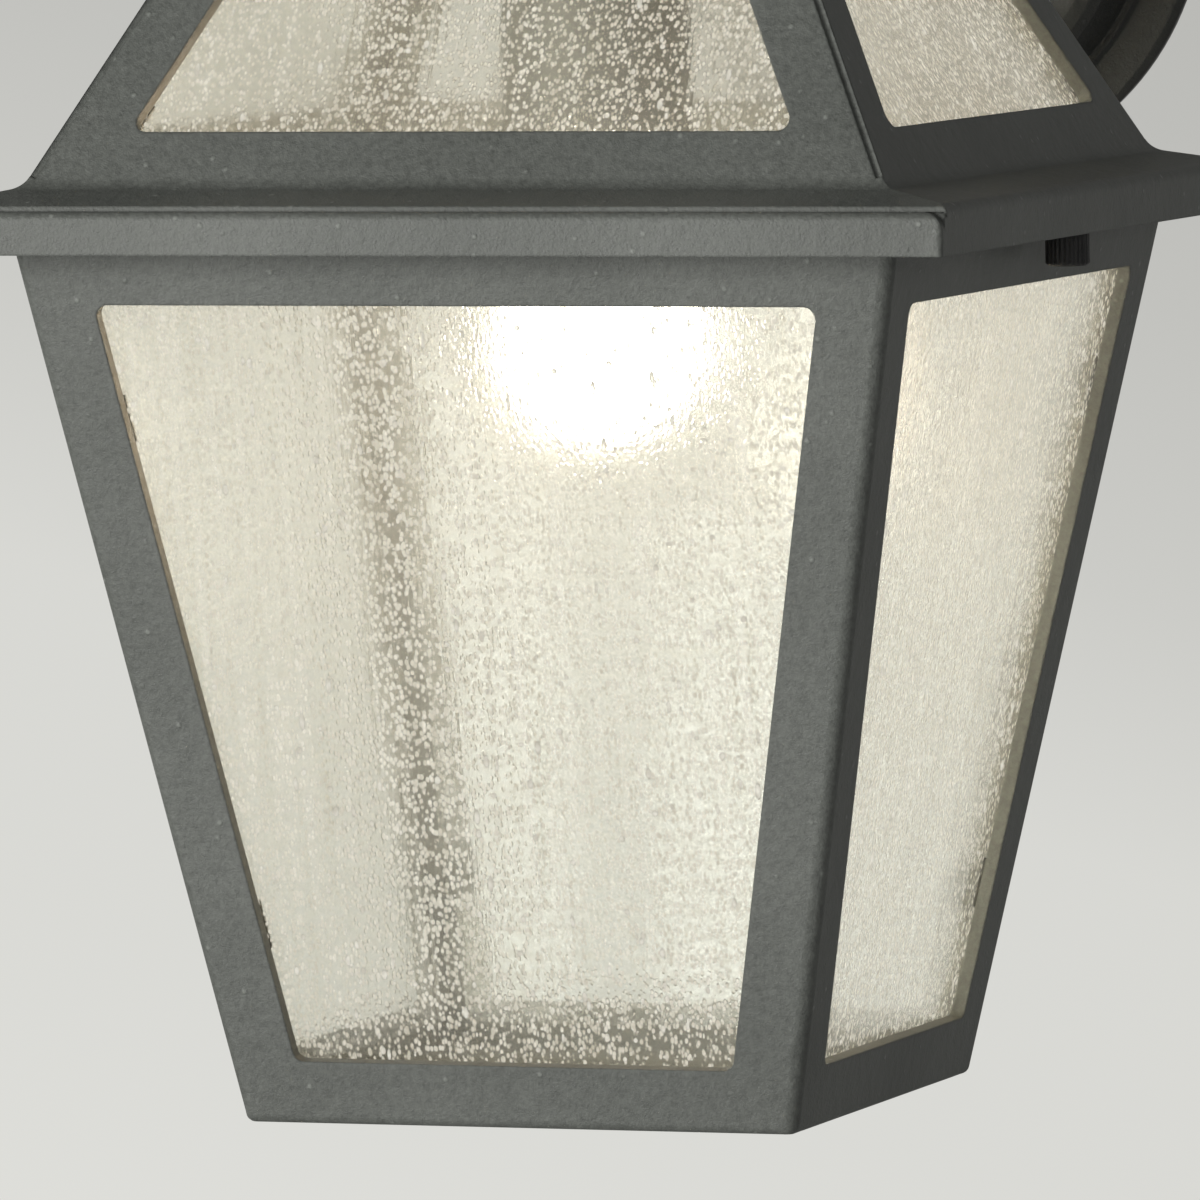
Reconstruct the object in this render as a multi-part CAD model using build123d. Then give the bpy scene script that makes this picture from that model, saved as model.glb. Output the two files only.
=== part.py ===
from build123d import *
from math import acos, cos, degrees, hypot, pi, radians, sin, sqrt
import os

# An outdoor wall lantern: a tapered glass cage under a four-sided glazed roof, on a crook arm.
# Millimetres. The origin is the middle of the wall plate, on the wall's face. +Z is up, the wall
# is on the +Y side and the lantern's front faces -Y. The lantern itself is drawn about its own
# upright axis, with z = 0 at the eave's lower edge, and is then hung in its place.

# Place of the lantern
REACH = 247.5  # from the wall to the lantern's axis
EAVE_DROP = 66.0  # from the plate's middle down to the eave's lower edge
SIDES = ("front", "right", "back", "left")

# Roof casting
EAVE_HALF = 114.3  # half of a 9 inch eave
EAVE_BAND = 8.1  # height of the front and back bands
SIDE_BAND = 9.4
BAND_DROP = 1.1  # how far the bands hang below z = 0
EAVE_RISE = 12.7  # height where the eave's top meets the roof slope
ROOF_HALF = 103.5  # the roof slope's half width, carried down to z = 0
ROOF_LEAN = -0.5305  # change of half width for each millimetre of height
ROOF_TOP = 140.0
ROOF_WALL = 3.0
TOP_PLATE = 5.0
EAVE_LIP = 2.4
SOFFIT = 5.2  # height of the flat face under the eave
COVE = 5.0
ROOF_STILE = 15.9
ROOF_WINDOW = (24.2, 116.0)
BAND_ROUND = 2.0
SIDE_ROUND = 2.6
GROOVE = ((2.4, 8.2), (2.8, 7.1), (4.0, 7.1), (4.4, 9.2))  # behind the band's face, and height
EAVE_CORNER = 1.0
STRIP_ROUND = 4.0  # top corners of the front and back bands
SEAM = 0.8  # groove along each hip

# Cage casting
CAGE_HALF = 99.0  # half width at z = 0
CAGE_LEAN = 0.1907
CAGE_LOW = -191.0
CAGE_WALL = 3.0
CAGE_CORNER = 2.8
CAGE_STILE = 15.5
CAGE_WINDOW = (-177.3, -12.5)
CAGE_EDGE = 2.0
FLANGE = (2.6, 5.1)  # level flange that meets the eave's soffit
FLANGE_HALF = 103.5
LIP_THICK = 2.0
LIP_HALF = 51.0  # half of the square opening inside the bottom lip
WINDOW_CORNER = 2.6

# Glass
GLASS = 3.0
GLASS_OVERLAP = 5.0

# Corner clips that press two panes at once
CLIP_THICK = 0.8
CLIP_HEIGHT = 11.0
CLIP_LEG = 4.4  # short enough to stay behind the stiles
CAGE_CLIPS = (-150.0, -40.0)
ROOF_CLIPS = (30.0, 96.0)
BOSS_HALF = 2.2
SMALL_SCREW = 1.3

# Thumb nuts and their studs
STUD_OUT = 106.5
STUD = 2.0
STUD_Z = (-7.4, 8.2)
EAR_HALF = 8.0
EAR_OUT = 111.2
NUT = 4.8
NUT_Z = (-8.5, 1.7)
NUT_BORE = 2.06
KNURLS = 26
KNURL_DEPTH = 0.35
WASHER_Z = (1.8, 2.5)
WASHER = 4.7

# Lamp and lampholder
LAMP_MIDDLE = -24.5
LAMP_BULB = 22.5
LAMP_SHELL = 0.8
CAP_LOW = 18.0
CAP_HIGH = 43.5
CAP = 13.0
THREAD_PITCH = 3.62
CUP = 21.5
CUP_Z = (14.0, 78.0)
HOLDER = 18.8
HOLDER_Z = (17.0, 60.0)
NECK_TOP = 72.0
STEM = 5.0
STEM_BORE = 3.5
STEM_Z = (62.0, 170.0)

# Crown and crook arm
CROWN_Z = (140.0, 168.0)
ARM = 8.0
ARM_BORE = 5.6
ARM_START = 152.0
CROOK_TOP = 225.0  # row height of the arm's highest centreline
CROOK_BACK = 97.5  # distance from the wall to the arm's back leg
ELBOW = 42.0
ARM_END = 11.0

# Wall plate and fixings
GASKET = 2.0
PLATE = 66.0
PLATE_FACE = 22.0
PLATE_STUDS = 28.0
BOX_SLOTS = 40.0
SLOT_LENGTH = 12.0
SLOT_HALF = 2.4
STRAP = (18.0, 100.0, 2.5)
MACHINE_SCREW = 2.0
LEAD = 1.1
LEAD_APART = 1.35


def hang(shape):
    """Moves what is drawn about the lantern's own axis to its place in front of the wall."""
    return Pos(0, -REACH, -EAVE_DROP) * shape


def out_from_wall(shape):
    """Turns what is drawn along +Z so that it stands out from the wall."""
    return Rot(90, 0, 0) * shape


def write(node, *solids):
    """Writes one node, of one or more separate solids."""
    shape = solids[0] if len(solids) == 1 else Compound(children=list(solids))
    export_step(shape, f"parts/{node}.step")


def turned(points):
    """A solid of revolution about Z from its half section of radius and height points."""
    return revolve(Plane.XZ * make_face(Polyline(points, close=True)), Axis.Z)


def tube(outer, inner, low, high):
    """A plain tube about Z."""
    ring = Circle(outer) - Circle(inner)
    return extrude(Pos(0, 0, low) * ring, high - low)


def rod(radius, low, high):
    """A plain rod about Z."""
    return extrude(Pos(0, 0, low) * Circle(radius), high - low)


def hex_nut(across_flats, bore, low, high):
    """A hexagon nut about Z."""
    outline = RegularPolygon(across_flats / 2, 6, major_radius=False) - Circle(bore)
    return extrude(Pos(0, 0, low) * outline, high - low)


def pan_screw(radius, head, head_height, length):
    """A slotted screw that points along -Z, with the underside of its head at z = 0."""
    body = rod(head, 0, head_height)
    body = fillet(body.edges().sort_by(Axis.Z)[-1], head_height * 0.6)
    slot = Pos(0, 0, head_height) * Box(2 * head, 0.9, head_height * 0.8)
    return body + rod(radius, -length, 0) - slot


def half_at(half, lean, z):
    """Half width of a tapered square body at height z."""
    return half + lean * z


def frustum(half, lean, inset, low, high, corner=0):
    """A tapered square block, inset by a level distance from the body it belongs to."""
    sections = []
    for z in (low, high):
        width = 2 * (half_at(half, lean, z) - inset)
        flat = RectangleRounded(width, width, corner) if corner else Rectangle(width, width)
        sections.append(Pos(0, 0, z) * flat)
    return loft(sections, ruled=True)


def face_outline(half, lean, inset, low, high, depth, corner=0):
    """A trapezoid in the front face's plane, sunk by depth and inset from the face's corners."""
    plane = Plane(origin=(0, -half, 0), x_dir=(1, 0, 0), z_dir=(0, -1, -lean)).offset(-depth)
    rise = hypot(1, lean)
    low_half = half_at(half, lean, low) - inset
    high_half = half_at(half, lean, high) - inset
    corners = [
        (-low_half, low * rise),
        (low_half, low * rise),
        (high_half, high * rise),
        (-high_half, high * rise),
    ]
    outline = make_face(Polyline(corners, close=True))
    if corner:
        outline = fillet(outline.vertices(), corner)
    return plane * outline


def all_sides(shape):
    """One copy of the front face's piece for each side, in the order of SIDES."""
    return [Rot(0, 0, 90 * turn) * shape for turn in range(4)]


def windows(half, lean, stile, span, wall):
    """The four window cutters of a tapered body."""
    outline = face_outline(half, lean, stile, *span, wall / 2, WINDOW_CORNER)
    return all_sides(extrude(outline, 2 * wall, both=True))


def panes(half, lean, stile, span, wall):
    """The four panes that lie behind a tapered body's walls."""
    low, high = span
    inset = stile - GLASS_OVERLAP
    outline = face_outline(half, lean, inset, low - GLASS_OVERLAP, high + GLASS_OVERLAP, wall)
    return all_sides(extrude(outline, -GLASS))


class Corner:
    """The inside corner where two walls of a tapered body meet, for its clips and bosses.

    In the corner's own frame +X points into the body, square to the corner's line, and +Z runs up
    that line. spread is half of the angle between the two walls.
    """

    def __init__(self, half, lean, stile, wall):
        self.half = half
        self.lean = lean
        self.level_wall = wall * hypot(1, lean)
        self.spread = pi / 2 - acos(lean**2 / (1 + lean**2)) / 2
        inset = stile - GLASS_OVERLAP - self.level_wall
        edge = inset * sqrt((1 + lean**2) / (1 + 2 * lean**2))
        self.in_to_pane = edge * cos(self.spread) + GLASS * sin(self.spread)
        self.out_to_pane = edge * sin(self.spread) - GLASS * cos(self.spread)

    def place(self, z, shape, turn):
        """Puts a shape drawn in the corner's frame into the corner at height z."""
        out = half_at(self.half, self.lean, z) - self.level_wall
        frame = Plane(
            origin=(out, -out, z),
            x_dir=(-1, 1, 2 * self.lean),
            z_dir=(self.lean, -self.lean, 1),
        )
        return Rot(0, 0, 90 * turn) * (frame.location * shape)

    def every(self, heights, shape):
        """The shape in all four corners at each of the heights."""
        return [self.place(z, shape, turn) for z in heights for turn in range(4)]

    def boss(self):
        """A short boss from the wall to the back of the clip."""
        length = self.in_to_pane + 1.4
        return Pos(length / 2 - 1.4, 0, 0) * Box(length, 2 * BOSS_HALF, CLIP_HEIGHT - 3)

    def bore(self):
        """The screw hole in a boss, blind towards the casting."""
        return Rot(0, 90, 0) * rod(SMALL_SCREW + 0.05, 0.6, self.in_to_pane + 1)

    def clip(self):
        """A bent strip that bears on both panes beside the boss."""
        ahead = CLIP_LEG * cos(self.spread)
        aside = CLIP_LEG * sin(self.spread)
        near = self.in_to_pane
        far = self.out_to_pane
        skew = CLIP_THICK * (1 - cos(pi / 2 - self.spread)) / sin(pi / 2 - self.spread)
        front = [(near + ahead, -far - aside), (near, -far), (near, far), (near + ahead, far + aside)]
        shift_in = CLIP_THICK * sin(self.spread)
        shift_side = CLIP_THICK * cos(self.spread)
        back = [
            (near + ahead + shift_in, far + aside - shift_side),
            (near + CLIP_THICK, far - skew),
            (near + CLIP_THICK, skew - far),
            (near + ahead + shift_in, shift_side - far - aside),
        ]
        strip = extrude(make_face(Polyline(front + back, close=True)), CLIP_HEIGHT / 2, both=True)
        hole = Rot(0, 90, 0) * rod(SMALL_SCREW + 0.1, near - 1, near + 2)
        return strip - hole

    def screw(self):
        """The screw that holds the clip, with its head inside the body."""
        seat = self.in_to_pane + CLIP_THICK
        return Pos(seat, 0, 0) * Rot(0, 90, 0) * pan_screw(SMALL_SCREW, 2.6, 1.6, seat - 0.8)


ROOF_CORNER = Corner(ROOF_HALF, ROOF_LEAN, ROOF_STILE, ROOF_WALL)
CAGE_CORNERS = Corner(CAGE_HALF, CAGE_LEAN, CAGE_STILE, CAGE_WALL)


def roof_prism(band, rounding, behind):
    """A long prism of the roof's section: band, the points behind it, cove and slope."""
    slope_foot = half_at(ROOF_HALF, ROOF_LEAN, EAVE_RISE)
    top = half_at(ROOF_HALF, ROOF_LEAN, ROOF_TOP)
    right = [(EAVE_HALF, -BAND_DROP), (EAVE_HALF, band)]
    right += [(EAVE_HALF - back, height) for back, height in behind]
    right += [(slope_foot, EAVE_RISE), (top, ROOF_TOP)]
    left = [(-x, z) for x, z in reversed(right)]
    section = make_face(Polyline(right + left, close=True))
    bands = [v for v in section.vertices() if abs(v.Y - band) < 0.01]
    section = fillet(bands, rounding)
    coves = [v for v in section.vertices() if abs(v.Y - EAVE_RISE) < 0.01]
    section = fillet(coves, COVE)
    return extrude(Plane.XZ * section, EAVE_HALF + 1, both=True)


def strip_corner():
    """What rounds off the front band's top right corner, as deep as the strip is thick."""
    size = STRIP_ROUND
    thick = GROOVE[0][0]
    block = Box(size + 0.2, 2 * thick, size + 0.2)
    block = Pos(EAVE_HALF - size / 2 + 0.1, 0, EAVE_BAND - size / 2 + 0.1) * block
    disc = Pos(EAVE_HALF - size, 0, EAVE_BAND - size) * Rot(90, 0, 0) * Cylinder(size, 3 * thick)
    return Pos(0, -EAVE_HALF, 0) * (block - disc)


def hip_seam():
    """A narrow groove down the front right hip, where the front and side faces meet."""
    low = EAVE_RISE + 2
    foot = half_at(ROOF_HALF, ROOF_LEAN, low)
    head = half_at(ROOF_HALF, ROOF_LEAN, ROOF_TOP + 2)
    start = Vector(foot - SEAM, -foot, low)
    run = Vector(head - SEAM, -head, ROOF_TOP + 2) - start
    return Plane(start, z_dir=run) * rod(SEAM, 0, run.length)


def roof_outside():
    """The roof's outer shape, mitred at the hips, with its bands' corners and hip seams cut."""
    grooved = roof_prism(EAVE_BAND, BAND_ROUND, GROOVE)
    body = roof_prism(SIDE_BAND, SIDE_ROUND, ()) & (Rot(0, 0, 90) * grooved)
    low = -BAND_DROP
    plan = Pos(0, 0, low) * RectangleRounded(2 * EAVE_HALF, 2 * EAVE_HALF, EAVE_CORNER)
    body &= extrude(plan, ROOF_TOP - low)
    for cut in (strip_corner(), hip_seam()):
        for side in (cut, mirror(cut, Plane.YZ)):
            body -= [side, Rot(0, 0, 180) * side]
    return body


def stud_places():
    """Where the two studs hang, on the left and right of the eave."""
    return [Pos(-STUD_OUT, 0, 0), Pos(STUD_OUT, 0, 0)]


def roof_frame():
    """The glazed roof casting, open below, with a soffit for the cage and a bored top."""
    level_wall = ROOF_WALL * hypot(1, ROOF_LEAN)
    body = roof_outside()
    pocket = 2 * (EAVE_HALF - EAVE_LIP)
    body -= Pos(0, 0, (SOFFIT - BAND_DROP) / 2) * Box(pocket, pocket, SOFFIT + BAND_DROP)
    body -= frustum(ROOF_HALF, ROOF_LEAN, level_wall, SOFFIT, ROOF_TOP - TOP_PLATE)
    body -= windows(ROOF_HALF, ROOF_LEAN, ROOF_STILE, ROOF_WINDOW, ROOF_WALL)
    body += ROOF_CORNER.every(ROOF_CLIPS, ROOF_CORNER.boss())
    body -= ROOF_CORNER.every(ROOF_CLIPS, ROOF_CORNER.bore())
    body -= [place * rod(STUD + 0.03, SOFFIT, STUD_Z[1]) for place in stud_places()]
    body -= rod(STEM + 0.2, ROOF_TOP - TOP_PLATE - 1, ROOF_TOP + 1)
    return body


def cage_frame():
    """The lower casting: four tapered stiles, rails, a bottom lip, a top flange and two ears."""
    level_wall = CAGE_WALL * hypot(1, CAGE_LEAN)
    low, high = FLANGE
    body = frustum(CAGE_HALF, CAGE_LEAN, 0, CAGE_LOW, high, CAGE_CORNER)
    body = fillet(body.faces().sort_by(Axis.Z)[0].edges(), CAGE_EDGE)
    middle = Pos(0, 0, (low + high) / 2)
    body += middle * Box(2 * FLANGE_HALF, 2 * FLANGE_HALF, high - low)
    body += middle * Box(2 * EAR_OUT, 2 * EAR_HALF, high - low)
    body -= frustum(CAGE_HALF, CAGE_LEAN, level_wall, CAGE_LOW + LIP_THICK, high)
    body -= Pos(0, 0, CAGE_LOW) * Box(2 * LIP_HALF, 2 * LIP_HALF, 4 * LIP_THICK)
    body -= windows(CAGE_HALF, CAGE_LEAN, CAGE_STILE, CAGE_WINDOW, CAGE_WALL)
    body += CAGE_CORNERS.every(CAGE_CLIPS, CAGE_CORNERS.boss())
    body -= CAGE_CORNERS.every(CAGE_CLIPS, CAGE_CORNERS.bore())
    body -= [place * rod(STUD + 0.5, low - 1, high + 1) for place in stud_places()]
    body -= [place * rod(SMALL_SCREW + 0.05, CAGE_LOW - 1, CAGE_LOW + 4) for place in floor_screws()]
    return body


def floor_screws():
    """Where the floor's four screws go."""
    out = LIP_HALF + 3.5
    return [Pos(x, y, 0) for x in (-out, out) for y in (-out, out)]


def cage_floor():
    """The sheet floor inside the cage, with a drain hole in the middle."""
    low = CAGE_LOW + LIP_THICK
    side = 2 * (half_at(CAGE_HALF, CAGE_LEAN, low) - CAGE_WALL - 1.2)
    sheet = extrude(Pos(0, 0, low) * RectangleRounded(side, side, 3), LIP_THICK)
    sheet -= rod(4, low - 1, low + LIP_THICK + 1)
    return sheet - [place * rod(SMALL_SCREW + 0.1, low - 1, low + 4) for place in floor_screws()]


def floor_screw_set():
    """The screws that hold the floor to the cage's lip."""
    top = CAGE_LOW + 2 * LIP_THICK
    screw = Pos(0, 0, top) * pan_screw(SMALL_SCREW, 2.4, 1.4, 2 * LIP_THICK - 0.4)
    return [place * screw for place in floor_screws()]


def thumb_nut():
    """A straight-knurled thumb nut about Z, bored for the stud."""
    low, high = NUT_Z
    root = NUT - KNURL_DEPTH
    teeth = []
    for tooth in range(KNURLS):
        start = 2 * pi * tooth / KNURLS
        step = 2 * pi / KNURLS
        for radius, share in ((root, 0.0), (NUT, 0.3), (NUT, 0.7)):
            turn = start + share * step
            teeth.append((radius * cos(turn), radius * sin(turn)))
    knurled = extrude(Pos(0, 0, low) * make_face(Polyline(teeth, close=True)), high - low)
    rounded = chamfer(rod(NUT + 0.1, low, high).edges().filter_by(GeomType.CIRCLE), 0.7)
    return (knurled & rounded) - rod(NUT_BORE, low - 1, high + 1)


def lampholder_cup():
    """The spun cup round the lampholder, with a rolled mouth and a domed top."""
    mouth, top = CUP_Z
    wall = 1.2
    waist = CUP - 1.0
    outside = [(CUP, mouth), (CUP, mouth + 3), (waist, mouth + 5), (waist, 63), (17, 72), (9, top)]
    inside = [(STEM + 0.2, top - wall), (16, 71), (waist - wall, 62), (waist - wall, mouth + 4)]
    return turned(outside + [(STEM + 0.2, top)] + inside + [(CUP - wall, mouth)])


def lampholder_body():
    """The moulded holder: a deep socket below, a wiring space above it and a bored neck."""
    low, high = HOLDER_Z
    outside = [(HOLDER, low), (HOLDER, high), (10, high + 2), (10, NECK_TOP)]
    bore = [(STEM + 0.1, NECK_TOP), (STEM + 0.1, 60), (6.5, 58), (6.5, 53), (4, 52), (4, 50)]
    return turned(outside + bore + [(14.3, 50), (14.3, low)])


def screw_shell():
    """The brass shell that the lamp's cap screws into."""
    return turned([(13.5, 19), (14.2, 19), (14.2, 49.8), (6, 49.8), (6, 49), (13.5, 49)])


def centre_contact():
    """The contact button above the lamp's tip, on its rivet."""
    return turned([(0, 46.9), (4, 46.9), (4, 47.7), (1.6, 47.7), (1.6, 52), (0, 52)])


def lamp_cap():
    """The lamp's screw cap, with its rounded thread as ridges."""
    outside = [(CAP - 0.6, CAP_LOW)]
    ridge = CAP_LOW + 4
    while ridge + THREAD_PITCH < CAP_HIGH - 3:
        outside += [(CAP - 0.8, ridge), (CAP, ridge + THREAD_PITCH / 2)]
        ridge += THREAD_PITCH
    outside += [(CAP - 0.8, ridge), (CAP - 0.8, CAP_HIGH - 3), (9.5, CAP_HIGH)]
    inside = [(9, CAP_HIGH), (9, CAP_HIGH - 1), (CAP - 1.6, CAP_HIGH - 4), (CAP - 1.6, CAP_LOW)]
    return turned(outside + inside)


def lamp_contact():
    """The insulator on top of the cap, with its contact tip."""
    return turned([(0, 42.7), (8.9, 42.7), (8.9, 43.6), (4, 45.6), (3.2, 46.6), (0, 46.6)])


def lamp_glass():
    """The blown bulb, open at its neck inside the cap."""
    neck = CAP - 1.75
    neck_top = CAP_LOW + 6
    shoulder = 12.6

    def half_section(wall):
        low = (0, LAMP_MIDDLE - LAMP_BULB + wall)
        side = (LAMP_BULB - wall, LAMP_MIDDLE)
        lean = radians(32)
        rim = (side[0] * cos(lean), LAMP_MIDDLE + side[0] * sin(lean))
        bottom = CenterArc((0, LAMP_MIDDLE), LAMP_BULB - wall, -90, 90 + degrees(lean))
        flank = Spline(
            rim,
            (shoulder - wall, CAP_LOW - 2),
            tangents=((-sin(lean), cos(lean)), (0, 1)),
        )
        up = Line((shoulder - wall, CAP_LOW - 2), (neck - wall, CAP_LOW - 0.4))
        top = Line((neck - wall, CAP_LOW - 0.4), (neck - wall, neck_top))
        over = Line((neck - wall, neck_top), (0, neck_top))
        axis = Line((0, neck_top), low)
        return revolve(Plane.XZ * make_face([bottom, flank, up, top, over, axis]), Axis.Z)

    hollow = half_section(LAMP_SHELL)
    return half_section(0) - hollow


def roof_crown():
    """The stepped square cap on the roof, with a round socket for the arm."""
    low, high = CROWN_Z
    base = half_at(ROOF_HALF, ROOF_LEAN, ROOF_TOP) + 4
    socket = ARM + 4
    step = low + 4
    shoulder = low + 14
    slab = extrude(Pos(0, 0, low) * RectangleRounded(2 * base, 2 * base, 2), step - low)
    slab = fillet(slab.faces().sort_by(Axis.Z)[-1].edges(), 1.2)
    slope = frustum(base - 4, (socket + 8 - base) / (shoulder - step), 0, 0, shoulder - step)
    foot = socket + 1
    neck = turned([(0, low + 2), (foot, low + 2), (foot, low + 22), (socket - 1, high), (0, high)])
    cap = slab + Pos(0, 0, step) * slope + neck
    return cap - rod(STEM + 0.2, low - 1, ARM_START + 1) - rod(ARM + 0.05, ARM_START, high + 1)


def arm_path(start_z, end_y, aside=0.0):
    """The crook's centreline, from the crown up, over and down into the plate."""
    radius = (REACH - CROOK_BACK) / 2 - 0.5
    route = [
        (-REACH, start_z),
        (-REACH, CROOK_TOP),
        (-CROOK_BACK, CROOK_TOP),
        (-CROOK_BACK, 0),
        (-end_y, 0),
    ]
    line = FilletPolyline(route, radius=[radius, radius, ELBOW])
    return Pos(aside, 0, 0) * (Plane.YZ * line)


def along_arm(radius, start_z, end_y, aside=0.0):
    """A round solid along the crook's centreline."""
    section = Pos(aside, -REACH, start_z) * Circle(radius)
    return sweep(section, arm_path(start_z, end_y, aside))


def arm():
    """The bent arm tube."""
    start = ARM_START - EAVE_DROP
    outside = along_arm(ARM, start, ARM_END)
    return outside - along_arm(ARM_BORE, start - 1, ARM_END - 1)


def back_plate():
    """The round stepped canopy against the wall: a flange, a ridge, a step and a raised face."""
    outside = [
        (PLATE, GASKET),
        (PLATE, GASKET + 1.6),
        (PLATE - 1.6, GASKET + 3.2),
        (PLATE - 9.5, GASKET + 4.4),
        (PLATE - 10.5, GASKET + 6.0),
        (PLATE - 12.0, GASKET + 6.0),
        (PLATE - 14.5, PLATE_FACE - 3.0),
        (PLATE - 16.5, PLATE_FACE - 0.8),
        (PLATE - 19.5, PLATE_FACE),
    ]
    bore = ARM + 0.1
    inside = [
        (bore, PLATE_FACE),
        (bore, PLATE_FACE - 3.5),
        (PLATE - 20.0, PLATE_FACE - 3.5),
        (PLATE - 17.5, PLATE_FACE - 5.0),
        (PLATE - 15.5, GASKET + 2.5),
        (PLATE - 14.0, GASKET),
    ]
    body = turned(outside + inside)
    hole = rod(MACHINE_SCREW + 0.4, 0, PLATE_FACE + 1)
    body -= [Pos(0, side * PLATE_STUDS, 0) * hole for side in (-1, 1)]
    return out_from_wall(body)


def mounting_strap():
    """The slotted steel strap that goes on the outlet box, behind the plate."""
    width, length, thick = STRAP
    plan = RectangleRounded(width, length, 4)
    slot = Rot(0, 0, 90) * SlotOverall(SLOT_LENGTH, 2 * SLOT_HALF)
    plan -= [Pos(0, side * BOX_SLOTS, 0) * slot for side in (-1, 1)]
    plan -= [Pos(0, side * PLATE_STUDS, 0) * Circle(MACHINE_SCREW + 0.03) for side in (-1, 1)]
    plan -= Pos(0, PLATE_STUDS / 2 + 3, 0) * Circle(MACHINE_SCREW + 0.03)
    plan -= Pos(0, -6, 0) * Circle(4.5)
    return out_from_wall(extrude(plan, thick))


def plate_studs():
    """The two long machine screws from the strap out through the plate."""
    head = rod(3.6, 2.5, 4.3)
    stud = head + rod(MACHINE_SCREW, 0.2, PLATE_FACE + 5)
    return [out_from_wall(Pos(0, side * PLATE_STUDS, 0) * stud) for side in (-1, 1)]


def plate_nuts():
    """The two acorn nuts on the plate's face."""
    seat = PLATE_FACE
    body = hex_nut(9.5, MACHINE_SCREW + 0.1, seat, seat + 4)
    inside = [(0, seat + 5.2), (2.1, seat + 5.2), (2.1, seat + 4)]
    dome = turned(inside + [(4.6, seat + 4), (4.1, seat + 6.6), (2.6, seat + 8.4), (0, seat + 9)])
    nut = body + dome
    return [out_from_wall(Pos(0, side * PLATE_STUDS, 0) * nut) for side in (-1, 1)]


def arm_collar():
    """The turned collar where the arm meets the plate."""
    foot = PLATE_FACE
    bore = ARM + 0.1
    outside = [(19, foot), (19, foot + 2.5), (16, foot + 4), (12.5, foot + 8), (11, foot + 14)]
    return out_from_wall(turned([(bore, foot)] + outside + [(bore, foot + 14)]))


def leads():
    """The two insulated supply leads, from the lampholder up through the arm to the plate."""
    start = 55.0 - EAVE_DROP
    return [along_arm(LEAD, start, 5.0, side * LEAD_APART) for side in (-1, 1)]


def build_roof():
    """Everything that stays with the roof casting."""
    write("roof_frame", hang(roof_frame()))
    roof_panes = panes(ROOF_HALF, ROOF_LEAN, ROOF_STILE, ROOF_WINDOW, ROOF_WALL)
    for side, pane in zip(SIDES, roof_panes):
        write(f"roof_glass_{side}", hang(pane))
    write("roof_glass_clips", *[hang(s) for s in ROOF_CORNER.every(ROOF_CLIPS, ROOF_CORNER.clip())])
    write("roof_clip_screws", *[hang(s) for s in ROOF_CORNER.every(ROOF_CLIPS, ROOF_CORNER.screw())])
    write("cage_studs", *[hang(place * rod(STUD, *STUD_Z)) for place in stud_places()])
    write("roof_crown", hang(roof_crown()))


def build_lampholder():
    """The lampholder, its cup, stem and nuts, and the lamp."""
    write("lampholder_cup", hang(lampholder_cup()))
    write("lampholder_body", hang(lampholder_body()))
    write("screw_shell", hang(screw_shell()))
    write("centre_contact", hang(centre_contact()))
    write("lampholder_stem", hang(tube(STEM, STEM_BORE, *STEM_Z)))
    under_top = ROOF_TOP - TOP_PLATE
    lower_nut = hex_nut(15, STEM + 0.05, CUP_Z[1], CUP_Z[1] + 4)
    upper_nut = hex_nut(15, STEM + 0.05, under_top - 4, under_top)
    write("stem_nuts", hang(lower_nut), hang(upper_nut))
    write("lamp_glass", hang(lamp_glass()))
    write("lamp_cap", hang(lamp_cap()))
    write("lamp_contact", hang(lamp_contact()))


def build_cage():
    """The cage that comes off for a new lamp, with its glass, clips and floor."""
    write("cage_frame", hang(cage_frame()))
    cage_panes = panes(CAGE_HALF, CAGE_LEAN, CAGE_STILE, CAGE_WINDOW, CAGE_WALL)
    for side, pane in zip(SIDES, cage_panes):
        write(f"cage_glass_{side}", hang(pane))
    write("cage_glass_clips", *[hang(s) for s in CAGE_CORNERS.every(CAGE_CLIPS, CAGE_CORNERS.clip())])
    write("cage_clip_screws", *[hang(s) for s in CAGE_CORNERS.every(CAGE_CLIPS, CAGE_CORNERS.screw())])
    write("cage_floor", hang(cage_floor()))
    write("cage_floor_screws", *[hang(screw) for screw in floor_screw_set()])
    for side, place in zip(("left", "right"), stud_places()):
        write(f"thumb_nut_{side}", hang(place * thumb_nut()))
        write(f"nut_washer_{side}", hang(place * tube(WASHER, STUD + 0.2, *WASHER_Z)))


def build_wall_side():
    """The arm, the plate and what holds them to the wall."""
    write("arm", arm())
    write("arm_collar", arm_collar())
    inside_face = PLATE_FACE - 3.5
    write("arm_lock_nut", out_from_wall(hex_nut(24, ARM + 0.05, inside_face - 5, inside_face)))
    write("back_plate", back_plate())
    write("wall_gasket", out_from_wall(tube(PLATE - 1, PLATE - 9, 0, GASKET)))
    write("mounting_strap", mounting_strap())
    write("plate_studs", *plate_studs())
    write("plate_nuts", *plate_nuts())
    ground = Pos(0, PLATE_STUDS / 2 + 3, STRAP[2]) * pan_screw(MACHINE_SCREW, 4.2, 2.4, STRAP[2] - 0.3)
    write("ground_screw", out_from_wall(ground))
    neutral, live = leads()
    write("neutral_lead", neutral)
    write("live_lead", live)


os.makedirs("parts", exist_ok=True)
build_roof()
build_lampholder()
build_cage()
build_wall_side()
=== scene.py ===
import math
import random

import bmesh
import bpy
from mathutils import Matrix, Vector


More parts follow.
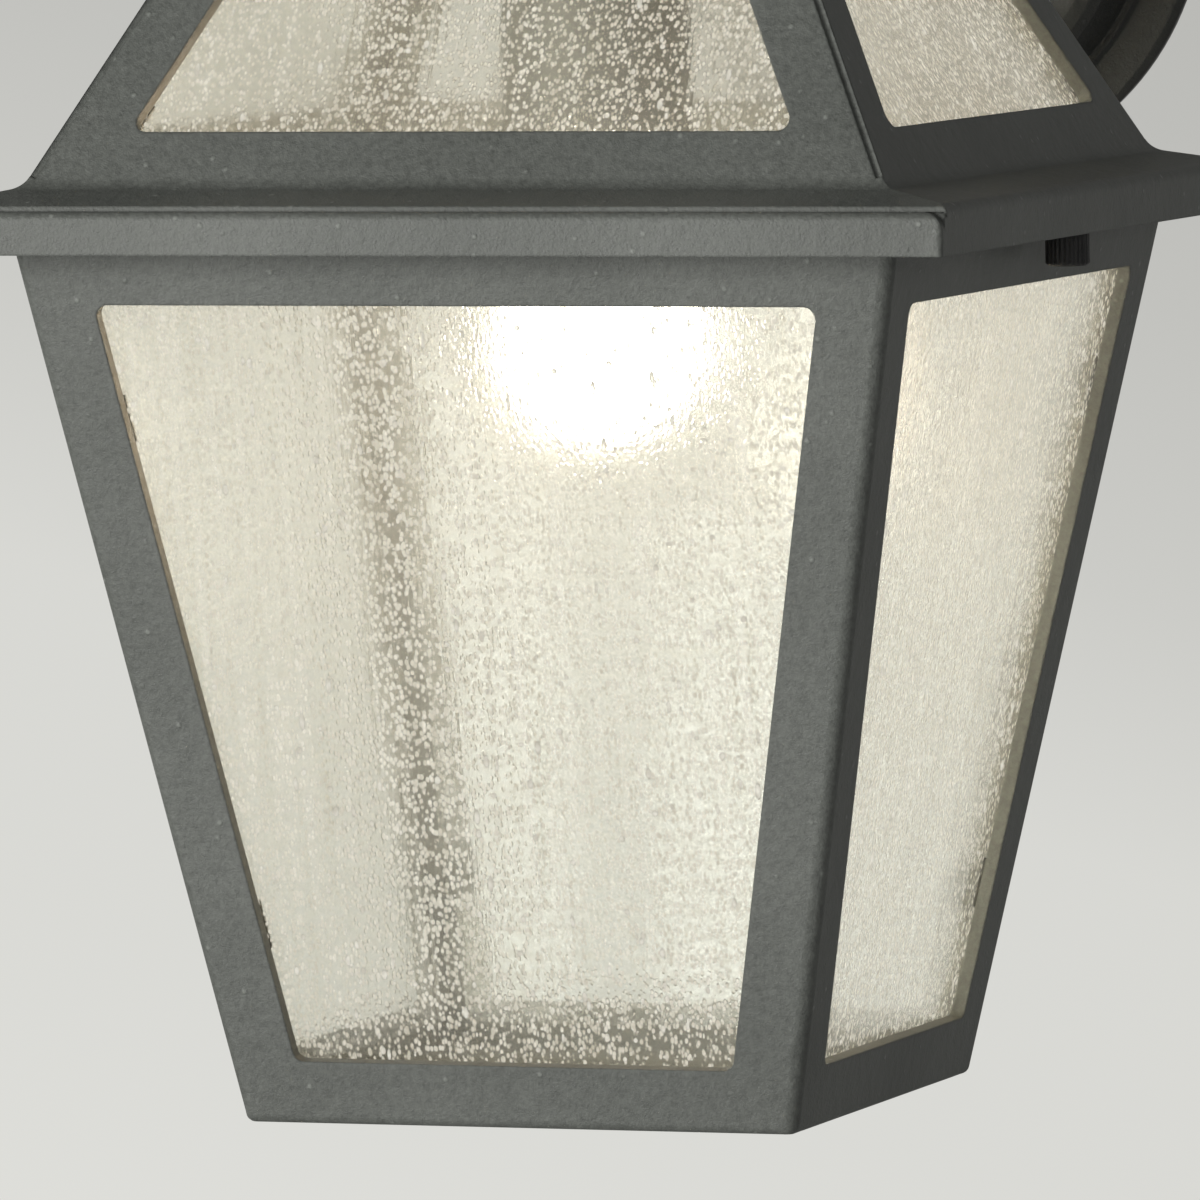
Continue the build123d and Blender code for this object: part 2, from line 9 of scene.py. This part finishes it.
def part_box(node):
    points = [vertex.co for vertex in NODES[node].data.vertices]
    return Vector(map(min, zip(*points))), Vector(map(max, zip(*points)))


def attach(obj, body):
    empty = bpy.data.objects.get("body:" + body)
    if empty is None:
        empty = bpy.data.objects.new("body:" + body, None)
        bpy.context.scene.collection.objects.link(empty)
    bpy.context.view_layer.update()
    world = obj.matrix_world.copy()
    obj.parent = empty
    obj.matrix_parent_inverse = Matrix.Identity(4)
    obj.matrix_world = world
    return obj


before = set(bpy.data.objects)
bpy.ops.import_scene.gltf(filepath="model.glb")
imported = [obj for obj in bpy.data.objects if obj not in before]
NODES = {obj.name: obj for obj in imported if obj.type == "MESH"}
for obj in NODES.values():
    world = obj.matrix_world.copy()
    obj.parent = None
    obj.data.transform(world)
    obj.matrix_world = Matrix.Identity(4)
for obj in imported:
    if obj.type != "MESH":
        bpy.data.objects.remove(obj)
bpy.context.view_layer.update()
SIDES = ("front", "right", "back", "left")

# The middle of the roof frame, at the height of its lowest edge: the eave
ROOF_LOW, ROOF_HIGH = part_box("roof_frame")
EAVE = Vector(((ROOF_LOW.x + ROOF_HIGH.x) / 2, (ROOF_LOW.y + ROOF_HIGH.y) / 2, ROOF_LOW.z))

# Camera: a long lens from the lantern's front right, a little above the eave
AZIMUTH = math.radians(19.10)
ELEVATION = math.radians(4.18)
ROLL = math.radians(-0.835)
DISTANCE = 2.860
AIM_BELOW_EAVE = 0.0805
LENS = 393.5
SENSOR = 36.0

# The lit lamp
LAMP_GLOW = 11.0  # emission strength of its opal glass
LAMP_POWER = 0.36
LAMP_COLOUR = (1.0, 0.74, 0.48)
LAMP_SOURCE_RADIUS = 0.012
LAMP_SOURCE_RISE = 0.022  # from the bulb's lowest point up to the light

# The glass: shares of its shader mixes, and the tiny seeds inside it
GLASS_IOR = 1.45
GLASS_HAZE = 0.03  # share of milky scatter
GLASS_HALO = 0.14  # share of blurred glass, which spreads the lamp's light into a halo
HALO_ROUGHNESS = 0.28
GLASS_SEED = 0.75  # how far a tiny seed's painted glow hides the glass behind it
GLASS_SHADOW = (0.82, 0.80, 0.74)  # tint of the light that a pane lets through
DRAW_STRETCH = 0.03  # upright scale of the draw lines, against 1 across them
SEED_STRETCH = 0.62  # upright scale of the tiny seeds, which are drawn out upwards
FINE_SEEDS = (0.0010, 0.47, 0.62)  # cell size, a seed's radius in cells, share of cells with a seed
LARGE_SEEDS = (0.0021, 0.30, 0.35)

# The larger seeds, which stand out of the panes
SEEDS_PER_PANE = 800  # on a cage pane; a roof pane has half as many
SEED_SIZES = (0.00025, 0.00075)
SEED_INSET = 0.006  # keeps the seeds inside the windows
SEED_RISE = 0.5  # a dome's height over its half width
SEED_DRAW = 2.2  # the most that a seed is drawn out upwards, in half widths
SEED_RING = 7
SEED_RINGS = ((1.0, -0.2), (0.72, 0.65))  # each ring's spread, and its height over the dome's
SEED_PAINTED_GLOW = 0.6  # share of painted glow: light of their own, though they are no lamp
SEED_SHADOW = (0.9, 0.9, 0.86)

COAT_EDGE = 0.0008  # rounding that the coat gives to sharp edges

# The studio, with places measured from the middle of the eave
FLOOR_DROP = 0.55  # from the cage's underside down to the studio floor
FLOOR_RADIUS = 2.6
FLOOR_SEGMENTS = 96
LIGHT_AIM = (0, 0, -0.08)
KEY_PLACE = (-1.5, -2.4, 0.25)
KEY_SIZE = (1.6, 1.3)
KEY_POWER = 72.0
KEY_COLOUR = (1.0, 1.0, 0.97)
FILL_PLACE = (1.6, -1.6, 0.2)
FILL_SIZE = (1.0, 1.0)
FILL_POWER = 4.0

# The grey sweep behind the lantern: greys from its low left to its high right
SWEEP_TILT = 0.3
SWEEP_RANGE = (-0.132, -0.0135)
SWEEP_GREYS = ((0.0, 0.73), (0.2, 0.70), (0.42, 0.685), (0.6, 0.60), (0.79, 0.54), (1.0, 0.49))
SWEEP_BLUE = 0.955  # blue's share of a grey
ROOM_GREY = (0.13, 0.13, 0.125)


def new_material(name):
    """A node material with its Principled shader and its output."""
    material = bpy.data.materials.new(name)
    material.use_nodes = True
    nodes = material.node_tree.nodes
    return material, nodes, material.node_tree.links, nodes["Principled BSDF"]


def put(node, socket, value):
    """Sets one input's value and gives the node back."""
    node.inputs[socket].default_value = value
    return node


def ramp(nodes, links, source, stops):
    """A colour ramp through (place, grey or colour) stops."""
    node = nodes.new("ShaderNodeValToRGB")
    elements = node.color_ramp.elements
    while len(elements) < len(stops):
        elements.new(0.5)
    for element, (place, colour) in zip(elements, stops):
        element.position = place
        if isinstance(colour, (int, float)):
            colour = (colour, colour, colour)
        element.color = (*colour, 1.0)
    links.new(source, node.inputs["Fac"])
    return node.outputs["Color"]


def noise_value(nodes, links, where, scale, detail=2.0, rough=0.5):
    """A noise texture's value at the given coordinates."""
    node = nodes.new("ShaderNodeTexNoise")
    put(node, "Scale", scale)
    put(node, "Detail", detail)
    put(node, "Roughness", rough)
    links.new(where, node.inputs["Vector"])
    return node.outputs["Fac"]


def object_place(nodes):
    """Coordinates in metres in the piece's own frame."""
    return nodes.new("ShaderNodeTexCoord").outputs["Object"]


def mixed(nodes, links, share, one, two, blend="MIX"):
    """A colour mix of two sockets or constants."""
    node = nodes.new("ShaderNodeMix")
    node.data_type = "RGBA"
    node.blend_type = blend
    # A colour mix has its factor at input 0, and its two colours at inputs 6 and 7
    for index, value in ((0, share), (6, one), (7, two)):
        if isinstance(value, bpy.types.NodeSocket):
            links.new(value, node.inputs[index])
        elif isinstance(value, float):
            node.inputs[index].default_value = value
        else:
            node.inputs[index].default_value = (*value, 1.0)
    return node.outputs[2]


def shader_mix(nodes, links, share, one, two):
    """A mix of two shaders by a linked or constant share of the second."""
    node = nodes.new("ShaderNodeMixShader")
    if isinstance(share, bpy.types.NodeSocket):
        links.new(share, node.inputs["Fac"])
    else:
        put(node, "Fac", share)
    links.new(one, node.inputs[1])
    links.new(two, node.inputs[2])
    return node.outputs["Shader"]


def scaled(nodes, links, place, scale):
    """Coordinates multiplied by a scale along each axis."""
    node = nodes.new("ShaderNodeMapping")
    put(node, "Scale", scale)
    links.new(place, node.inputs["Vector"])
    return node.outputs["Vector"]


def in_scene(name, data):
    """A new object, put into the scene."""
    thing = bpy.data.objects.new(name, data)
    bpy.context.scene.collection.objects.link(thing)
    return thing


def bumped(nodes, links, height, distance, strength=1.0, normal=None):
    """A bump from a height in metres."""
    node = nodes.new("ShaderNodeBump")
    put(node, "Distance", distance)
    put(node, "Strength", strength)
    links.new(height, node.inputs["Height"])
    if normal is not None:
        links.new(normal, node.inputs["Normal"])
    return node.outputs["Normal"]


def powder_coat(name, dark, light, roughness):
    """Fine sand-textured powder coat: grain, orange peel, pits and a few dust specks."""
    material, nodes, links, shader = new_material(name)
    place = object_place(nodes)
    cloud = noise_value(nodes, links, place, 18.0, 4.0)
    mottle = noise_value(nodes, links, place, 650.0, 4.0, 0.75)
    tone = ramp(nodes, links, cloud, [(0.3, dark), (0.7, light)])
    grain_tone = ramp(nodes, links, mottle, [(0.32, 0.72), (0.68, 1.18)])
    colour = mixed(nodes, links, 1.0, tone, grain_tone, "MULTIPLY")
    specks = nodes.new("ShaderNodeTexVoronoi")
    put(specks, "Scale", 170.0)
    links.new(place, specks.inputs["Vector"])
    dust = ramp(nodes, links, specks.outputs["Distance"], [(0.05, 0.45), (0.11, 0.0)])
    pale = tuple(min(1.0, 2.2 * c) for c in light)
    colour = mixed(nodes, links, dust, colour, pale)
    links.new(colour, shader.inputs["Base Color"])
    gloss = ramp(nodes, links, mottle, [(0.3, roughness - 0.07), (0.7, roughness + 0.1)])
    links.new(gloss, shader.inputs["Roughness"])
    edge = nodes.new("ShaderNodeBevel")
    edge.samples = 4
    put(edge, "Radius", COAT_EDGE)
    peel = noise_value(nodes, links, place, 260.0, 2.0)
    grain = noise_value(nodes, links, place, 1500.0, 2.0, 0.7)
    pits = ramp(nodes, links, specks.outputs["Distance"], [(0.04, 1.0), (0.14, 0.0)])
    normal = bumped(nodes, links, peel, 0.00045, 0.5, edge.outputs["Normal"])
    normal = bumped(nodes, links, grain, 0.00020, 0.8, normal)
    normal = bumped(nodes, links, pits, 0.0002, 0.5, normal)
    links.new(normal, shader.inputs["Normal"])
    put(shader, "IOR", 1.5)
    return material


def plain_metal(name, colour, roughness, metallic=1.0, scale=900.0):
    """Plated or bare metal with fine tool marks."""
    material, nodes, links, shader = new_material(name)
    place = object_place(nodes)
    value = noise_value(nodes, links, place, scale, 3.0, 0.6)
    low = tuple(0.8 * c for c in colour)
    tone = ramp(nodes, links, value, [(0.3, low), (0.7, colour)])
    links.new(tone, shader.inputs["Base Color"])
    gloss = ramp(nodes, links, value, [(0.3, roughness * 0.8), (0.7, roughness * 1.25)])
    links.new(gloss, shader.inputs["Roughness"])
    links.new(bumped(nodes, links, value, 0.00005), shader.inputs["Normal"])
    put(shader, "Metallic", metallic)
    return material


def moulded(name, colour, roughness, scale=700.0):
    """Moulded or rubbery material with a faint grain."""
    return plain_metal(name, colour, roughness, 0.0, scale)


def shadow_clear(nodes, links, surface, tint):
    """Ends a material in a surface whose shadow is only a tint, so that light passes through it."""
    clear = nodes.new("ShaderNodeBsdfTransparent")
    put(clear, "Color", (*tint, 1.0))
    path = nodes.new("ShaderNodeLightPath")
    pick = shader_mix(nodes, links, path.outputs["Is Shadow Ray"], surface, clear.outputs["BSDF"])
    links.new(pick, nodes["Material Output"].inputs["Surface"])


def seed_dots(nodes, links, place, size, radius, share):
    """A mask of small round seeds: one in each cell of the given size, in a share of the cells."""
    cells = nodes.new("ShaderNodeTexVoronoi")
    put(cells, "Scale", 1.0 / size)
    links.new(place, cells.inputs["Vector"])
    spots = ramp(nodes, links, cells.outputs["Distance"], [(radius * 0.6, 1.0), (radius, 0.0)])
    kept = ramp(nodes, links, cells.outputs["Color"], [(1.0 - share, 0.0), (1.02 - share, 1.0)])
    return mixed(nodes, links, 1.0, spots, kept, "MULTIPLY")


def seeded_glass(name, across):
    """Clear rolled glass: upright draw lines, slow waves and a haze of tiny seeds with a painted glow of
    their own, though they are no lamp.
    """
    material, nodes, links, shader = new_material(name)
    place = object_place(nodes)
    drawn = scaled(nodes, links, place, (*across, DRAW_STRETCH))
    lines = noise_value(nodes, links, drawn, 480.0, 3.0, 0.6)
    waves = noise_value(nodes, links, drawn, 90.0, 2.0)
    seed_place = scaled(nodes, links, place, (1.0, 1.0, SEED_STRETCH))
    fine = seed_dots(nodes, links, seed_place, *FINE_SEEDS)
    large = seed_dots(nodes, links, seed_place, *LARGE_SEEDS)
    dots = mixed(nodes, links, 1.0, fine, large, "ADD")
    tint = ramp(nodes, links, lines, [(0.3, (0.95, 0.965, 0.925)), (0.7, (0.98, 0.985, 0.96))])
    links.new(tint, shader.inputs["Base Color"])
    haze = ramp(nodes, links, lines, [(0.3, 0.02), (0.7, 0.05)])
    links.new(haze, shader.inputs["Roughness"])
    normal = bumped(nodes, links, waves, 0.00025, 0.5)
    normal = bumped(nodes, links, lines, 0.00008, 0.6, normal)
    normal = bumped(nodes, links, dots, 0.00008, 0.6, normal)
    links.new(normal, shader.inputs["Normal"])
    put(shader, "Transmission Weight", 1.0)
    put(shader, "IOR", GLASS_IOR)
    halo = nodes.new("ShaderNodeBsdfGlass")
    put(halo, "Roughness", HALO_ROUGHNESS)
    put(halo, "IOR", GLASS_IOR)
    links.new(tint, halo.inputs["Color"])
    links.new(normal, halo.inputs["Normal"])
    soft = shader_mix(nodes, links, GLASS_HALO, shader.outputs["BSDF"], halo.outputs["BSDF"])
    glow = nodes.new("ShaderNodeBsdfTranslucent")
    put(glow, "Color", (1.0, 0.97, 0.89, 1.0))
    body = shader_mix(nodes, links, GLASS_HAZE, soft, glow.outputs["BSDF"])
    # Painted glow: the tiny seeds give light of their own, though they are no lamp, tinted along the draw
    # lines
    painted_glow = nodes.new("ShaderNodeEmission")
    put(painted_glow, "Strength", 1.0)
    tone = ramp(nodes, links, lines, [(0.35, (0.55, 0.51, 0.42)), (0.65, (0.82, 0.79, 0.69))])
    links.new(tone, painted_glow.inputs["Color"])
    # The seed mask sets how much of this painted glow covers the glass
    painted_glow_share = ramp(nodes, links, dots, [(0.0, 0.0), (1.0, GLASS_SEED)])
    seeded = shader_mix(nodes, links, painted_glow_share, body, painted_glow.outputs["Emission"])
    shadow_clear(nodes, links, seeded, GLASS_SHADOW)
    return material


def seed_glass():
    """The larger seeds: bubbles that stand a little out of the pane, with a painted glow of their own and
    painted shade darkening their rims.
    """
    material, nodes, links, shader = new_material("glass_seeds")
    value = noise_value(nodes, links, object_place(nodes), 700.0)
    tone = ramp(nodes, links, value, [(0.3, (0.66, 0.63, 0.55)), (0.7, (0.95, 0.93, 0.85))])
    put(shader, "Roughness", 0.10)
    put(shader, "Transmission Weight", 1.0)
    put(shader, "IOR", 1.12)
    links.new(tone, shader.inputs["Base Color"])
    # Painted shade: the glow darkens towards each dome's rim, where it faces away
    facing = nodes.new("ShaderNodeLayerWeight")
    put(facing, "Blend", 0.5)
    painted_rim_shade = ramp(nodes, links, facing.outputs["Facing"], [(0.25, 0.95), (0.9, 0.45)])
    # Painted glow: the bubbles give light of their own, though they are no lamp
    painted_glow = nodes.new("ShaderNodeEmission")
    links.new(mixed(nodes, links, 1.0, tone, painted_rim_shade, "MULTIPLY"), painted_glow.inputs["Color"])
    body = shader_mix(nodes, links, SEED_PAINTED_GLOW, shader.outputs["BSDF"], painted_glow.outputs["Emission"])
    shadow_clear(nodes, links, body, SEED_SHADOW)
    return material


def lit_opal():
    """The lamp's opal glass, lit."""
    material, nodes, links, shader = new_material("lit_opal")
    place = object_place(nodes)
    cloud = noise_value(nodes, links, place, 45.0, 2.0)
    tone = ramp(nodes, links, cloud, [(0.3, (0.93, 0.90, 0.84)), (0.7, (1.0, 0.98, 0.93))])
    links.new(tone, shader.inputs["Base Color"])
    links.new(ramp(nodes, links, cloud, [(0.3, 0.25), (0.7, 0.4)]), shader.inputs["Roughness"])
    warm = mixed(nodes, links, 1.0, tone, (1.0, 0.95, 0.86), "MULTIPLY")
    links.new(warm, shader.inputs["Emission Color"])
    put(shader, "Emission Strength", LAMP_GLOW)
    shadow_clear(nodes, links, shader.outputs["BSDF"], (1.0, 1.0, 1.0))
    return material


def dress(material, *nodes):
    """Gives CAD nodes their material."""
    for name in nodes:
        mesh = NODES[name].data
        mesh.materials.clear()
        mesh.materials.append(material)


def dress_all():
    """Every CAD node's material."""
    coat = powder_coat("powder_coat", (0.100, 0.106, 0.097), (0.130, 0.137, 0.126), 0.52)
    # Painted shade: a much darker copy of the same powder coat, for the arm and back plate behind the
    # lantern
    wall_coat_painted_shade = powder_coat("wall_coat_painted_shade", (0.020, 0.021, 0.019), (0.028, 0.029, 0.027), 0.45)
    black = powder_coat("nut_black", (0.012, 0.012, 0.012), (0.02, 0.02, 0.02), 0.42)
    zinc = plain_metal("zinc", (0.62, 0.62, 0.60), 0.32)
    green = plain_metal("ground_green", (0.05, 0.28, 0.10), 0.35, 0.6)
    brass = plain_metal("brass", (0.80, 0.60, 0.27), 0.28)
    nickel = plain_metal("nickel", (0.80, 0.79, 0.76), 0.22)
    foam = moulded("foam", (0.03, 0.03, 0.03), 0.85, 1500.0)
    phenolic = moulded("phenolic", (0.045, 0.04, 0.035), 0.4)
    contact = moulded("contact", (0.02, 0.02, 0.02), 0.15)
    dress(coat, "roof_frame", "cage_frame", "roof_crown", "cage_floor", "lampholder_cup")
    dress(coat, "roof_glass_clips", "roof_clip_screws", "cage_glass_clips", "cage_clip_screws")
    # The arm and back plate take the painted-shade copy of the coat
    dress(wall_coat_painted_shade, "arm", "arm_collar", "back_plate")
    dress(black, "thumb_nut_left", "thumb_nut_right", "plate_nuts")
    dress(zinc, "nut_washer_left", "nut_washer_right", "cage_studs", "cage_floor_screws")
    dress(zinc, "mounting_strap", "plate_studs", "stem_nuts", "lampholder_stem", "arm_lock_nut")
    dress(green, "ground_screw")
    dress(foam, "wall_gasket")
    dress(phenolic, "lampholder_body")
    dress(brass, "screw_shell", "centre_contact")
    dress(nickel, "lamp_cap")
    dress(contact, "lamp_contact")
    dress(lit_opal(), "lamp_glass")
    dress(moulded("lead_black", (0.02, 0.02, 0.02), 0.5), "live_lead")
    dress(moulded("lead_white", (0.75, 0.75, 0.72), 0.5), "neutral_lead")
    faces = seeded_glass("seeded_glass_faces", (1.0, 0.0))
    flanks = seeded_glass("seeded_glass_flanks", (0.0, 1.0))
    for side in SIDES:
        glass = faces if side in ("front", "back") else flanks
        dress(glass, f"roof_glass_{side}", f"cage_glass_{side}")


def outer_corners(node, outward):
    """The four corners of a pane's outer face: low left, low right, high right, high left."""
    mesh = NODES[node].data
    points = {}  # corners by place, so that those within 0.01 mm count once
    for face in mesh.polygons:
        if face.normal.dot(outward) > 0.5:
            for i in face.vertices:
                co = mesh.vertices[i].co
                points[tuple(round(c, 5) for c in co)] = co.copy()
    across = Vector((0, 0, 1)).cross(outward)
    by_height = sorted(points.values(), key=lambda co: co.z)
    low = sorted(by_height[:2], key=lambda co: co.dot(across))
    high = sorted(by_height[-2:], key=lambda co: -co.dot(across))
    return low + high


def pane_seeds(node, side, body, count, material, rng):
    """A pane's larger seeds as small domes on its outer face, drawn out upwards."""
    turn = math.radians(90 * SIDES.index(side) - 90)
    outward = Vector((math.cos(turn), math.sin(turn), 0))
    low_left, low_right, high_right, high_left = outer_corners(node, outward)
    up = ((high_left + high_right) / 2 - (low_left + low_right) / 2).normalized()
    across = (low_right - low_left).normalized()
    normal = across.cross(up)
    height = ((high_left + high_right) / 2 - (low_left + low_right) / 2).length
    shape = bmesh.new()
    for _ in range(count):
        v = rng.uniform(SEED_INSET / height, 1 - SEED_INSET / height)
        left = low_left.lerp(high_left, v)
        right = low_right.lerp(high_right, v)
        inset = SEED_INSET / (right - left).length
        centre = left.lerp(right, rng.uniform(inset, 1 - inset))
        size = SEED_SIZES[0] + (SEED_SIZES[1] - SEED_SIZES[0]) * rng.random() ** 3
        long = size * (1 + SEED_DRAW * rng.random() ** 3)
        seed_dome(shape, centre, across * size, up * long, normal * size * SEED_RISE)
    mesh = bpy.data.meshes.new(f"{node}_seeds")
    shape.to_mesh(mesh)
    shape.free()
    mesh.shade_smooth()
    mesh.materials.append(material)
    seeds = in_scene(f"{node}_seeds", mesh)
    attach(seeds, body)


def seed_dome(shape, centre, side, long, rise):
    """One low dome: two rings, a top and a flat underside."""
    rings = []
    for spread, lift in SEED_RINGS:
        ring = []
        for step in range(SEED_RING):
            turn = 2 * math.pi * step / SEED_RING
            offset = side * math.cos(turn) * spread + long * math.sin(turn) * spread
            ring.append(shape.verts.new(centre + offset + rise * lift))
        rings.append(ring)
    top = shape.verts.new(centre + rise)
    for step in range(SEED_RING):
        after = (step + 1) % SEED_RING
        shape.faces.new((rings[0][step], rings[0][after], rings[1][after], rings[1][step]))
        shape.faces.new((rings[1][step], rings[1][after], top))
    shape.faces.new(rings[0][::-1])


def add_seeds():
    """The larger seeds of all eight panes."""
    material = seed_glass()
    rng = random.Random(7)
    for part, body, count in (("cage", "cage", SEEDS_PER_PANE), ("roof", "lantern", SEEDS_PER_PANE // 2)):
        for side in SIDES:
            pane_seeds(f"{part}_glass_{side}", side, body, count, material, rng)


def studio_camera():
    """The camera, with its axes worked out from azimuth, elevation and roll."""
    back = Vector(
        (
            math.sin(AZIMUTH) * math.cos(ELEVATION),
            -math.cos(AZIMUTH) * math.cos(ELEVATION),
            math.sin(ELEVATION),
        )
    )
    level = Vector((math.cos(AZIMUTH), math.sin(AZIMUTH), 0))
    upright = back.cross(level)
    right = math.cos(ROLL) * level + math.sin(ROLL) * upright
    up = math.cos(ROLL) * upright - math.sin(ROLL) * level
    place = EAVE - AIM_BELOW_EAVE * up + DISTANCE * back
    lens = bpy.data.cameras.new("camera")
    lens.lens = LENS
    lens.sensor_width = SENSOR
    lens.clip_end = 100.0
    camera = in_scene("camera", lens)
    axes = Matrix((right, up, back)).transposed().to_4x4()
    camera.matrix_world = Matrix.Translation(place) @ axes
    bpy.context.scene.camera = camera


def area_light(name, place, size, power, colour=(1, 1, 1)):
    """A soft area light that looks at the cage's upper half."""
    light = bpy.data.lights.new(name, "AREA")
    light.shape = "RECTANGLE"
    light.size, light.size_y = size
    light.energy = power
    light.color = colour
    source = in_scene(name, light)
    source.location = EAVE + Vector(place)
    aim = EAVE + Vector(LIGHT_AIM) - source.location
    source.rotation_euler = aim.to_track_quat("-Z", "Y").to_euler()


def studio():
    """Floor, world and soft lights."""
    floor_mesh = bpy.data.meshes.new("studio_floor")
    shape = bmesh.new()
    bmesh.ops.create_circle(shape, cap_ends=True, segments=FLOOR_SEGMENTS, radius=FLOOR_RADIUS)
    shape.to_mesh(floor_mesh)
    shape.free()
    floor = in_scene("studio_floor", floor_mesh)
    floor.location = (EAVE.x, EAVE.y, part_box("cage_frame")[0].z - FLOOR_DROP)
    material, nodes, links, shader = new_material("studio_floor")
    value = noise_value(nodes, links, object_place(nodes), 3.0)
    tone = ramp(nodes, links, value, [(0.3, 0.70), (0.7, 0.74)])
    links.new(tone, shader.inputs["Base Color"])
    put(shader, "Roughness", 0.8)
    floor.data.materials.append(material)

    studio_world()
    lamp_light()
    area_light("key", KEY_PLACE, KEY_SIZE, KEY_POWER, KEY_COLOUR)
    area_light("fill", FILL_PLACE, FILL_SIZE, FILL_POWER)


def lamp_light():
    """The light that the lamp throws inside the lantern; it stays put when the lamp moves."""
    light = bpy.data.lights.new("lamp_light", "POINT")
    light.energy = LAMP_POWER
    light.color = LAMP_COLOUR
    light.shadow_soft_size = LAMP_SOURCE_RADIUS
    source = in_scene("lamp_light", light)
    low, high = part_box("lamp_glass")
    source.location = ((low.x + high.x) / 2, (low.y + high.y) / 2, low.z + LAMP_SOURCE_RISE)


def studio_world():
    """A grey sweep behind the lantern, brighter low down, and a dimmer room elsewhere."""
    world = bpy.data.worlds.new("studio")
    bpy.context.scene.world = world
    world.use_nodes = True
    nodes, links = world.node_tree.nodes, world.node_tree.links
    way = nodes.new("ShaderNodeTexCoord").outputs["Generated"]

    def along(axis, low, high, stops):
        """A ramp over the direction's part along an axis."""
        dot = nodes.new("ShaderNodeVectorMath")
        dot.operation = "DOT_PRODUCT"
        links.new(way, dot.inputs[0])
        dot.inputs[1].default_value = axis
        spread = nodes.new("ShaderNodeMapRange")
        put(spread, "From Min", low)
        put(spread, "From Max", high)
        links.new(dot.outputs["Value"], spread.inputs["Value"])
        return ramp(nodes, links, spread.outputs["Result"], stops)

    forward = (-math.sin(AZIMUTH), math.cos(AZIMUTH), 0)
    tilted = (SWEEP_TILT * math.cos(AZIMUTH), SWEEP_TILT * math.sin(AZIMUTH), 1.0)
    stops = [(place, (grey, grey, SWEEP_BLUE * grey)) for place, grey in SWEEP_GREYS]
    wall = along(tilted, *SWEEP_RANGE, stops)
    above = along((0, 0, 1), -0.02, 0.7, [(0.0, 1.0), (0.25, 0.8), (1.0, 0.12)])
    wall = mixed(nodes, links, 1.0, wall, above, "MULTIPLY")
    behind = along(forward, 0.35, 0.9, [(0.0, 0.0), (1.0, 1.0)])
    colour = mixed(nodes, links, behind, ROOM_GREY, wall)
    links.new(colour, nodes["Background"].inputs["Color"])


dress_all()
add_seeds()
studio_camera()
studio()
bpy.context.scene.view_settings.view_transform = "Standard"
